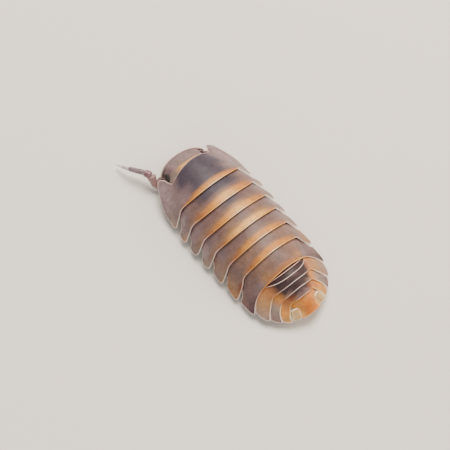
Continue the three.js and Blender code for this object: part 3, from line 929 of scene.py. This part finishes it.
# Wet cuticle over black pigment, near black with a small sharp gloss
def lensFinish(tree, place):
    cloud = addNode(tree, "ShaderNodeTexNoise", {"Vector": place, "Scale": 1 / (0.15 * mm)})
    return {
        "Base Color": addNode(tree, "ShaderNodeValToRGB", {"Fac": cloud}, eye["stops"]),
        "Roughness": 0.3, "IOR": 1.5, "Coat Weight": 0.25, "Coat Roughness": 0.1,
    }


def newTree(name, sockets):
    tree = bpy.data.node_groups.new(name, "GeometryNodeTree")
    sockets = {"Geometry": "NodeSocketGeometry", **sockets, "Material": "NodeSocketMaterial"}
    for label, kind in sockets.items():
        tree.interface.new_socket(label, in_out="INPUT", socket_type=kind)
    tree.interface.new_socket("Geometry", in_out="OUTPUT", socket_type="NodeSocketGeometry")
    return tree, addNode(tree, "NodeGroupInput").outputs


# Joins what a tree placed to the mesh that it was given, makes it real and gives it its material
def closeTree(tree, given, placed, smoothed=False):
    made = addNode(tree, "GeometryNodeJoinGeometry", {"Geometry": [placed, given["Geometry"]]})
    made = addNode(tree, "GeometryNodeRealizeInstances", {"Geometry": made})
    if smoothed:
        made = addNode(tree, "GeometryNodeSetShadeSmooth", {"Geometry": made})
    made = addNode(tree, "GeometryNodeSetMaterial", {"Geometry": made, "Material": given["Material"]})
    addNode(tree, "NodeGroupOutput", {"Geometry": made})
    return tree


# Lenses on every point of the eye's own surface
def lensTree():
    tree, given = newTree("lensField", {"Lens Radius": "NodeSocketFloat"})
    lens = addNode(tree, "GeometryNodeMeshIcoSphere", {"Radius": given["Lens Radius"], "Subdivisions": 2})
    lenses = addNode(tree, "GeometryNodeInstanceOnPoints", {"Points": given["Geometry"], "Instance": lens})
    return closeTree(tree, given, lenses, smoothed=True)


# Runs a node tree on an object once and keeps the result as its plain mesh
def applyTree(piece, tree, values):
    modifier = piece.modifiers.new(tree.name, "NODES")
    modifier.node_group = tree
    for socket in tree.interface.items_tree:
        if socket.in_out == "INPUT" and socket.name in values:
            modifier[socket.identifier] = values[socket.name]
    bpy.context.view_layer.update()
    evaluated = piece.evaluated_get(bpy.context.evaluated_depsgraph_get())
    made = bpy.data.meshes.new_from_object(evaluated)
    piece.modifiers.remove(modifier)
    piece.data = made


def addEyes():
    tree = lensTree()
    material = newMaterial("wet black eye lens", lensFinish)
    for side, label in ((1, "left"), (-1, "right")):
        bpy.ops.mesh.primitive_ico_sphere_add(subdivisions=3, radius=1)
        piece = bpy.context.object
        piece.name = f"eye_{label}_lenses"
        centre = heldHead([side * eye["across"], eye["place"] - animal["originS"], eye["height"]])
        splay = Matrix.Rotation(math.radians(-side * eye["splay"]), 4, "Z")
        size = Matrix.Diagonal((*[radius * mm for radius in eye["radii"]], 1))
        piece.data.transform(Matrix.Translation(Vector(centre) * mm) @ splay @ size)
        applyTree(piece, tree, {"Lens Radius": eye["lens"] * mm, "Material": material})
        finishPiece(piece, material, "eye", f"eye_{label}")
    print("eyes made")


# Feelers: joints as (across, s, height, radius), and colours by joint
feeler = {
    "left": [
        (1.5, 0.02, 1.12, 0.2), (2.16, -0.04, 1.02, 0.25), (2.86, 0.22, 0.48, 0.24),
        (2.77, -0.62, 1.18, 0.36), (2.99, -1.16, 1.15, 0.26), (3.72, -2.3, 0.92, 0.17),
        (3.95, -2.84, 0.66, 0.12), (4.12, -3.36, 0.42, 0.05),
    ],
    "right": [
        (-1.45, 0.08, 1.1, 0.2), (-1.84, 0.16, 0.92, 0.23), (-2.26, 0.36, 0.56, 0.22),
        (-2.66, 1.22, 0.45, 0.32), (-2.76, 1.58, 0.42, 0.26), (-2.98, 2.75, 0.36, 0.17),
        (-3.05, 3.25, 0.32, 0.12), (-3.08, 3.7, 0.26, 0.05),
    ],
    "sides": 28,
    "colours": [
        (0, "8c7074"), (2, "9a7878"), (2.9, "94707a"), (3.1, "6e4c5c"), (4, "8a7c84"),
        (5, "d8d0d0"), (6, "f2eeec"),
    ],
}


# Thin chitin, pigmented pink to violet at the base and clear as glass towards the tip
def feelerFinish(tree, place):
    article = addNode(tree, "ShaderNodeAttribute", attribute_name="article").outputs["Fac"]
    cloud = addNode(tree, "ShaderNodeTexNoise", {"Vector": place, "Scale": 1 / (0.2 * mm), "Detail": 3})
    reach = addNode(tree, "ShaderNodeMapRange", {"Value": article, "From Max": 7})
    colour = addNode(tree, "ShaderNodeValToRGB", {"Fac": reach}, [
        (joint / 7, code) for joint, code in feeler["colours"]
    ])
    tone = addNode(tree, "ShaderNodeMapRange", {
        **noiseSpan, "Value": cloud, "To Min": 0.8, "To Max": 1.1,
    })
    mottled = addNode(tree, "ShaderNodeVectorMath", {0: colour, "Scale": tone}, operation="SCALE")
    clear = addNode(tree, "ShaderNodeMapRange", {
        "Value": article, "From Min": 3.2, "From Max": 4, "To Min": 0.05, "To Max": 0.3,
    })
    return {
        "Base Color": mottled, "Transmission Weight": clear, "Roughness": 0.3, "IOR": 1.45,
        "Subsurface Weight": 0.4, "Subsurface Radius": (1.0, 0.7, 0.6), "Subsurface Scale": 0.1 * mm,
        "Sheen Weight": 0.8, "Sheen Roughness": 0.35, "Coat Weight": 0.2,
    }


# Fine bristles scattered over a limb, leaning towards its tip
bristles = {"density": 30, "length": 0.11, "radius": 0.011, "lean": 0.8, "seed": 7}


def bristleTree():
    tree, given = newTree("bristleCoat", {
        "Density": "NodeSocketFloat", "Length": "NodeSocketFloat", "Radius": "NodeSocketFloat",
        "Lean": "NodeSocketVector", "Seed": "NodeSocketInt",
    })
    spots = addNode(tree, "GeometryNodeDistributePointsOnFaces", {
        "Mesh": given["Geometry"], "Density": given["Density"], "Seed": given["Seed"],
    })
    leaning = addNode(tree, "ShaderNodeVectorMath", {
        0: spots.outputs["Normal"], 1: given["Lean"],
    }, operation="ADD")
    hair = addNode(tree, "GeometryNodeMeshCone", {
        "Vertices": 5, "Radius Top": 0.0, "Radius Bottom": given["Radius"], "Depth": given["Length"],
    })
    hairs = addNode(tree, "GeometryNodeInstanceOnPoints", {
        "Points": spots, "Instance": hair,
        "Rotation": addNode(tree, "FunctionNodeAlignRotationToVector", {"Vector": leaning}, axis="Z"),
        "Scale": addNode(tree, "FunctionNodeRandomValue", {2: 0.6, 3: 1.2, "Seed": given["Seed"]}),
    })
    return closeTree(tree, given, hairs)


def addBristles(piece, tree, material, lean, density=1.0):
    applyTree(piece, tree, {
        "Density": bristles["density"] * density / mm**2,
        "Length": bristles["length"] * mm,
        "Radius": bristles["radius"] * mm,
        "Lean": [bristles["lean"] * c for c in lean],
        "Seed": bristles["seed"],
        "Material": material,
    })


def addFeelers(tree):
    material = newMaterial("clear chitin feeler", feelerFinish)
    for label in ("left", "right"):
        joints = feeler[label]
        piece = joinedObject(f"antenna_{label}_articles", limbParts(joints, feeler["sides"]))
        lean = np.subtract(joints[-1][:3], joints[0][:3])
        addBristles(piece, tree, material, lean / np.linalg.norm(lean))
        finishPiece(piece, material, "feeler", f"antenna_{label}")
    print("feelers made")


# Legs: seven pairs of seven articles, the last a dark claw
leg = {
    "joints": [
        (0.5, -0.1, 1.5, 0.24), (0.56, 0, 1.02, 0.26), (0.31, -0.35, 0.78, 0.24), (0.52, 0.05, 0.7, 0.22),
        (0.7, 0.45, 0.62, 0.19), (0.84, 0.85, 0.3, 0.14), (0.875, 0.96, 0.12, 0.1), (0.89, 1.0, 0.03, 0.03),
    ],
    "sweeps": (-0.85, -0.8, -0.65, -0.5, 0.6, 0.75, 0.85),
    "setBack": 0.28,
    "firstHip": 2.15,
    "sides": 20,
    "stops": [(0.35, "8f7f80"), (0.55, "b5a29c"), (0.7, "c9b8ae")],
    "claw": "5a3a26",
}


# Pale horn-clear chitin with violet-grey clouds, brown at the claw
def legFinish(tree, place):
    article = addNode(tree, "ShaderNodeAttribute", attribute_name="article").outputs["Fac"]
    cloud = addNode(tree, "ShaderNodeTexNoise", {"Vector": place, "Scale": 1 / (0.3 * mm), "Detail": 3})
    pale = addNode(tree, "ShaderNodeValToRGB", {"Fac": cloud}, leg["stops"])
    claw = addNode(tree, "ShaderNodeMapRange", {
        "Value": article, "From Min": 5.2, "From Max": 6, "To Max": 0.85,
    })
    colour = addNode(tree, "ShaderNodeMix", {
        "Factor": claw, 6: pale, 7: hexColour(leg["claw"]),
    }, data_type="RGBA")
    return {
        "Base Color": colour, "Roughness": 0.38, "IOR": 1.5, "Coat Weight": 0.2,
        "Subsurface Weight": 0.35, "Subsurface Radius": (1.0, 0.7, 0.55), "Subsurface Scale": 0.12 * mm,
    }


def addLegs(tree):
    material = newMaterial("pale chitin leg", legFinish)
    for k, plate in enumerate(trunkPlates):
        ahead = 0 if k == 0 else trunkPlates[k - 1]["edge"][0]
        hip = leg["firstHip"] if k == 0 else (ahead + plate["edge"][0]) / 2 - leg["setBack"]
        width = along(bodyLines, np.array(hip))[1]
        for side, label in ((1, "left"), (-1, "right")):
            joints = [
                (side * share * width, hip + reach * leg["sweeps"][k], height, radius)
                for share, reach, height, radius in leg["joints"]
            ]
            piece = joinedObject(f"leg_{label}_{k + 1}_articles", limbParts(joints, leg["sides"]))
            addBristles(piece, tree, material, (side * 0.3, 0, -0.5), 0.6)
            finishPiece(piece, material, "leg", f"leg_{label}_{k + 1}")
    print("legs made")


# A closed pad of rounded outline between four corners, crowned on top: used for small plates
def padPart(corners, thickness, crown, squareness, rings=14, around=72):
    a, b, c, d = [np.array((x, s - animal["originS"], z)) for x, s, z in corners]
    angle = np.linspace(0, 2 * math.pi, around, endpoint=False)
    reach = (np.abs(np.cos(angle)) ** squareness + np.abs(np.sin(angle)) ** squareness) ** (-1 / squareness)
    up = np.cross(b - a, d - a)
    up /= np.linalg.norm(up) * (1 if up[2] > 0 else -1)
    rows, radii = [], []
    for sign in (1, -1):
        shares = np.sin(np.linspace(0.02, math.pi / 2, rings))
        for r in shares if sign > 0 else shares[-2::-1]:
            u, w = np.cos(angle) * reach * r, np.sin(angle) * reach * r
            p, q = ((u + 1) / 2)[:, None], ((w + 1) / 2)[:, None]
            flat = lerp(lerp(a, b, p), lerp(d, c, p), q)
            rise = crown * (1 - r * r) * (1 if sign > 0 else 0.3)
            shell = sign * thickness / 2 * math.sqrt(max(1 - r**6, 0))
            rows.append(flat + up * (rise + shell))
            radii.append(np.full(around, r))
    return loftPart(np.array(rows), {"padReach": np.array(radii)})


# Thin milky plate with fine lengthwise ridges, its edge paler
def ridgedFinish(tree, place, look):
    cloud = addNode(tree, "ShaderNodeTexNoise", {"Vector": place, "Scale": 1 / (0.3 * mm), "Detail": 3})
    reach = addNode(tree, "ShaderNodeAttribute", attribute_name="padReach").outputs["Fac"]
    ridges = addNode(tree, "ShaderNodeTexWave", {
        "Vector": place, "Scale": 1 / (look["ridge"] * mm) / 20, "Distortion": 0.6, "Detail": 1,
    }, bands_direction="X").outputs["Fac"]
    lined = addNode(tree, "ShaderNodeMix", {
        "Factor": addNode(tree, "ShaderNodeMapRange", {"Value": ridges, "To Max": look["lineStrength"]}),
        6: addNode(tree, "ShaderNodeValToRGB", {"Fac": cloud}, look["stops"]),
        7: hexColour(look["line"]),
    }, data_type="RGBA")
    edge = addNode(tree, "ShaderNodeMapRange", {
        "Value": reach, "From Min": 0.78, "From Max": 0.93,
    }, interpolation_type="SMOOTHSTEP")
    rimmed = addNode(tree, "ShaderNodeMix", {
        "Factor": edge, 6: lined, 7: hexColour(look["rim"]),
    }, data_type="RGBA")
    relief = addNode(tree, "ShaderNodeBump", {"Height": ridges, "Strength": 0.35, "Distance": 0.02 * mm})
    return {
        "Base Color": rimmed, "Normal": relief, "Roughness": 0.36, "IOR": 1.53,
        "Subsurface Weight": 0.35, "Subsurface Radius": (1.0, 0.7, 0.45), "Subsurface Scale": 0.14 * mm,
        "Coat Weight": 0.25, "Coat Roughness": 0.2,
    }


# Tail shield and tail limbs; the shield's rows are s, half-width, mid height, side height
tail = {
    "shield": [
        [14.6, 1.2, 2.2, 1.35],
        [14.98, 1.22, 2.05, 1.2],
        [15.3, 1.02, 1.89, 1.19],
        [15.56, 0.86, 1.68, 1.14],
        [15.8, 0.85, 1.46, 1.05],
        [16.02, 0.91, 1.26, 0.93],
        [16.16, 0.9, 1.14, 0.87],
    ],
    "shieldBow": 0.14,
    "shieldThickness": 0.16,
    "limb": [  # the pads of one tail limb: outer branch, base and inner branch, each with its
        # corners (across, s, height), thickness and crown
        ([(1.36, 15.04, 1.3), (0.7, 15.2, 1.34), (0.98, 16.0, 0.94), (1.62, 15.78, 0.76)], 0.12, 0.07),
        ([(1.7, 14.9, 1.06), (0.5, 15.1, 1.1), (0.62, 15.85, 0.84), (1.6, 15.72, 0.66)], 0.16, 0.03),
        ([(0.5, 15.3, 0.98), (0.18, 15.3, 0.98), (0.2, 15.98, 0.84), (0.52, 15.98, 0.84)], 0.1, 0.02),
    ],
    "cream": {
        "stops": [(0.3, "a8844e"), (0.7, "ccaa70")], "line": "86683e", "lineStrength": 0.3,
        "rim": "f0dcb2", "ridge": 0.12,
    },
}
shieldLook = {
    "front": "fawn orange orange gold gold gold",
    "middle": "orange orange orange orange gold honey",
    "band": "orange orange orange orange gold honey",
    "rim": "honey honey honey honey honey honey",
    "reach": (1.2, 0.8, 0.5, 0.2),
}


def addShield():
    s = np.linspace(tail["shield"][0][0], tail["shield"][-1][0], 46)
    halfWidth, middle, side = np.moveaxis(along(tail["shield"], s), -1, 0)
    t = mirrored(np.sin(np.linspace(0, math.pi / 2, 26)))[:, None]
    y = s - tail["shieldBow"] * t * t - animal["originS"]
    top = np.stack([halfWidth * t, y, lerp(middle, side, t * t)], -1)
    normal = upwardNormals(top)
    edge = distanceTo(top, np.concatenate([top[:, -1], top[0], top[-1]]))
    bead = animal["beadHeight"] * hump(edge, 0, animal["beadWidth"])
    top = top + normal * bead[..., None]
    thick = lerp(animal["edgeThickness"], tail["shieldThickness"], smooth(edge / 0.4))
    under = top - normal * thick[..., None]
    lip = (top[:, -1:] + under[:, -1:]) / 2 + np.array([0, 0.04, -0.01])
    values = {
        "sectionPlace": np.abs(t * 2) * np.ones_like(s),
        "fromHind": (s[-1] - s) * np.ones_like(t),
        "fromEdge": edge,
    }
    values = {label: carriedUnder(numbers, 1, 0) for label, numbers in values.items()}
    rows = np.concatenate([top, lip, under[:, ::-2]], axis=1)
    piece = makeObject("telson_shield", *loftPart(rows, values))
    material = newMaterial("chitin shell tail shield", shellFinish, shieldLook)
    finishPiece(piece, material, "tail_shell", "telson")


def addTailLimbs():
    material = newMaterial("ridged cream chitin", ridgedFinish, tail["cream"])
    for side, label in ((1, "left"), (-1, "right")):
        parts = []
        for corners, thickness, crown in tail["limb"]:
            parts.append(padPart([(side * x, s, z) for x, s, z in corners], thickness, crown, 7))
        piece = joinedObject(f"uropod_{label}_plates", parts)
        finishPiece(piece, material, "uropod", f"uropod_{label}")
    print("tail made")


# Gills: five pairs of soft leaves under the tail plates
gill = {
    "count": 5, "first": 12.52, "pitch": 0.53, "length": 0.62,
    "across": 1.05, "narrowing": 0.13,  # half-width of the first pair, and how much less each next is
    "height": 0.72, "fall": 0.024,
    "droop": 0.16,  # how much lower its hind edge hangs
    "thickness": 0.09, "crown": 0.04,
    "leaf": {
        "stops": [(0.3, "a89a94"), (0.7, "c8bcb4")], "line": "8a7a76", "lineStrength": 0.2,
        "rim": "d8cec6", "ridge": 0.2,
    },
}


def addGills():
    material = newMaterial("milky gill leaf", ridgedFinish, gill["leaf"])
    for k in range(gill["count"]):
        front = gill["first"] + k * gill["pitch"]
        hind = front + gill["length"]
        wide = gill["across"] - k * gill["narrowing"]
        high = gill["height"] - k * gill["fall"]
        low = high - gill["droop"]
        corners = [
            (0.04, front, high), (wide, front, high + 0.02),
            (wide * 0.92, hind, low), (0.05, hind, low - 0.02),
        ]
        parts = [
            padPart([(side * x, s, z) for x, s, z in corners], gill["thickness"], gill["crown"], 3)
            for side in (1, -1)
        ]
        piece = joinedObject(f"pleopods_{k + 1}_leaves", parts)
        finishPiece(piece, material, "gill", f"pleopods_{k + 1}")
    print("gills made")


# Mouth: face shield and lip, biting jaws, and two flat jaw feet that close them from below
mouth = {
    "lobes": [  # centre (across, s, height), radii, whether it has a twin on the right
        ((0, -0.36, 1.02), (0.6, 0.16, 0.3), False),
        ((0, -0.3, 0.76), (0.36, 0.14, 0.12), False),
        ((0.44, -0.08, 0.78), (0.22, 0.3, 0.2), True),
        ((0.27, 0.3, 0.56), (0.24, 0.48, 0.1), True),
        ((0.34, -0.16, 0.56), (0.12, 0.2, 0.08), True),
        ((0.62, 0.36, 0.7), (0.2, 0.42, 0.14), True),
    ],
    "antennule": [
        (0.42, -0.42, 1.32, 0.07), (0.47, -0.6, 1.27, 0.06),
        (0.5, -0.74, 1.2, 0.045), (0.52, -0.86, 1.12, 0.02),
    ],
    "skin": {"grain": 0.22, "stops": [(0.3, "8a7676"), (0.7, "c4b0a8")], "roughness": 0.42, "coat": 0.25},
}


def addMouth():
    parts = []
    angle = np.linspace(0, 2 * math.pi, 40, endpoint=False)
    fall = np.linspace(0.06, math.pi - 0.06, 22)[:, None]
    girth = np.sin(fall)
    ball = np.stack([girth * np.cos(angle), girth * np.sin(angle), np.cos(fall) + 0 * angle], -1)
    for (across, s, height), radii, twin in mouth["lobes"]:
        for side in (1, -1) if twin else (1,):
            lobe = ball * radii + np.array((side * across, s - animal["originS"], height))
            parts.append(loftPart(lobe, {"article": np.zeros(lobe.shape[:2])}))
    for side in (1, -1):
        joints = [(side * x, s, z, radius) for x, s, z, radius in mouth["antennule"]]
        parts += limbParts(joints, 12)
    piece = joinedObject("mouth_pieces", parts)
    finishPiece(piece, newMaterial("pale mouth chitin", softFinish, mouth["skin"]), "mouth", "mouthparts")
    print("mouth made")


addBelly()
addHead()
addEyes()
coat = bristleTree()
addFeelers(coat)
addLegs(coat)
addShield()
addTailLimbs()
addGills()
addMouth()


# Camera as the photograph was taken: from above, a little to the animal's left and behind, and
# tipped so that the animal lies aslant; angles in degrees, target and distance in millimetres
view = {
    "target": (0, 1.55, 1.5),
    "distance": 110,
    "round": 127.55,
    "tilt": 23.68,
    "roll": 13.55,
    "lens": 111.49,
    "shift": (-0.0484, 0.0184),
}


def addCamera():
    data = bpy.data.cameras.new("camera")
    camera = bpy.data.objects.new("camera", data)
    bpy.context.scene.collection.objects.link(camera)
    data.lens = view["lens"]
    data.shift_x, data.shift_y = view["shift"]
    data.clip_start, data.clip_end = 1 * mm, 20
    turn = Matrix()
    for axis, key in (("Z", "round"), ("X", "tilt"), ("Z", "roll")):
        turn = turn @ Matrix.Rotation(math.radians(view[key]), 4, axis)
    away = Matrix.Translation((0, 0, view["distance"] * mm))
    camera.matrix_world = Matrix.Translation(Vector(view["target"]) * mm) @ turn @ away
    bpy.context.scene.camera = camera


# Pale matt paper under soft light
studio = {
    "floorColour": "e9e6e1",
    "floorSize": 3,  # metres
    "worldColour": "f1efec",
    "worldStrength": 0.28,
}


# Light boxes aimed at the animal: name, place and size in metres, power in watts, colour
lightBoxes = [
    ("keyLight", (-0.11, -0.12, 0.28), 0.2, 2.1, "fff1e2"),
    ("fillLight", (0.18, 0.2, 0.2), 0.3, 0.55, "fff4ea"),
    ("rimLight", (-0.24, 0.12, 0.14), 0.16, 0.5, "ffe6cc"),
]


def floorFinish(tree, place):
    return {
        "Base Color": hexColour(studio["floorColour"]), "Roughness": 0.85, "Specular IOR Level": 0.2,
    }


def addStudio():
    half = studio["floorSize"] / mm / 2
    corners = [(-half, -half, 0), (half, -half, 0), (half, half, 0), (-half, half, 0)]
    floor = makeObject("floor", corners, [(0, 1, 2, 3)])
    floor.data.materials.append(newMaterial("matt paper floor", floorFinish))
    world = bpy.data.worlds.new("studio")
    world.use_nodes = True
    background = world.node_tree.nodes["Background"]
    background.inputs["Color"].default_value = hexColour(studio["worldColour"])
    background.inputs["Strength"].default_value = studio["worldStrength"]
    bpy.context.scene.world = world
    for name, place, size, power, code in lightBoxes:
        data = bpy.data.lights.new(name, "AREA")
        data.shape, data.size, data.energy = "SQUARE", size, power
        data.color = hexColour(code)[:3]
        lamp = bpy.data.objects.new(name, data)
        lamp.location = place
        lamp.rotation_euler = (-Vector(place)).to_track_quat("-Z", "Y").to_euler()
        bpy.context.scene.collection.objects.link(lamp)


addCamera()
addStudio()
print("camera and studio set")
